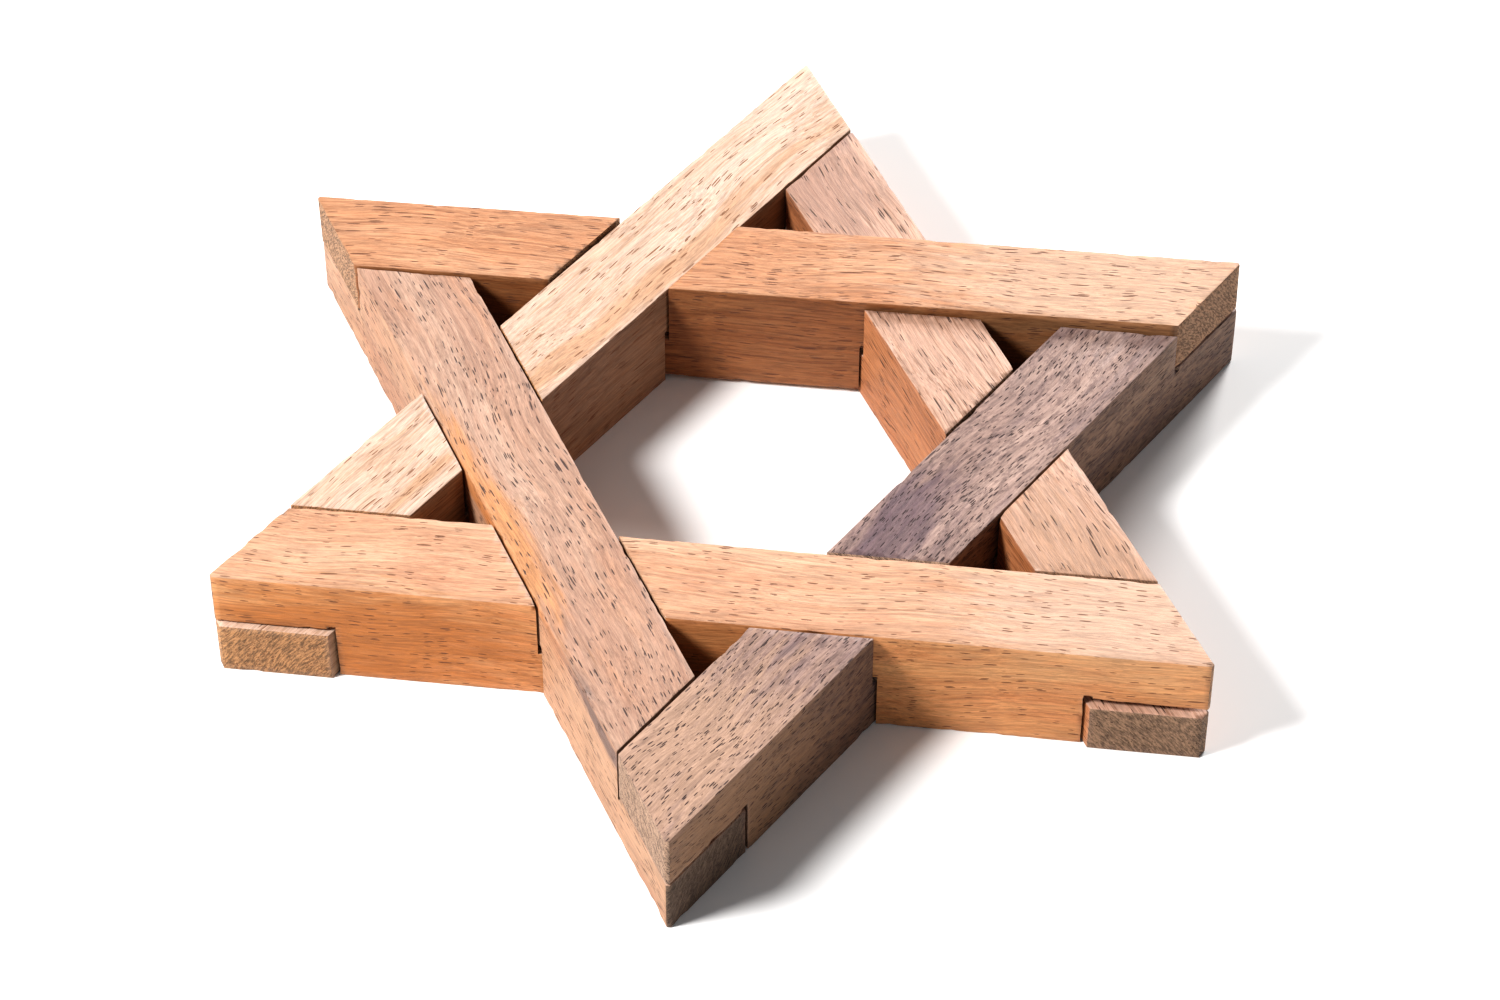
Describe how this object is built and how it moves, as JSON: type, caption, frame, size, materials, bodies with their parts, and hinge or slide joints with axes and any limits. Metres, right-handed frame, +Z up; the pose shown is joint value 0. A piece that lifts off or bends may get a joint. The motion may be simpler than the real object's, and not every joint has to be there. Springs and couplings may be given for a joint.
{
  "type": "wooden burr puzzle",
  "caption": "Flat wooden burr puzzle: notched sticks interlock with half laps as two woven triangles, a six-pointed star, and a key stick frees the rest.",
  "frame": {"origin": "middle of the star, on the surface it lies on", "axes": "+Z up, +Y towards the star's back tip, +X to the right"},
  "size_m": [0.1496, 0.172, 0.021],
  "materials": {
    "peach_wood": "satin",
    "tan_wood": "matte",
    "cream_wood": "satin",
    "pink_brown_wood": "matte",
    "dark_wood": "matte",
    "streaked_wood": "matte"
  },
  "bodies": {
    "key": {"key_stick": "streaked_wood"},
    "locked_sticks": {"front_stick": "peach_wood", "back_stick": "tan_wood", "back_left_stick": "cream_wood", "front_left_stick": "pink_brown_wood", "front_right_stick": "dark_wood"}
  },
  "joints": [
    {"name": "lift_off_key", "type": "slide", "parent": "key", "child": "locked_sticks", "axis": [0, 0, 1], "range_m": [0, 0.06]}
  ]
}
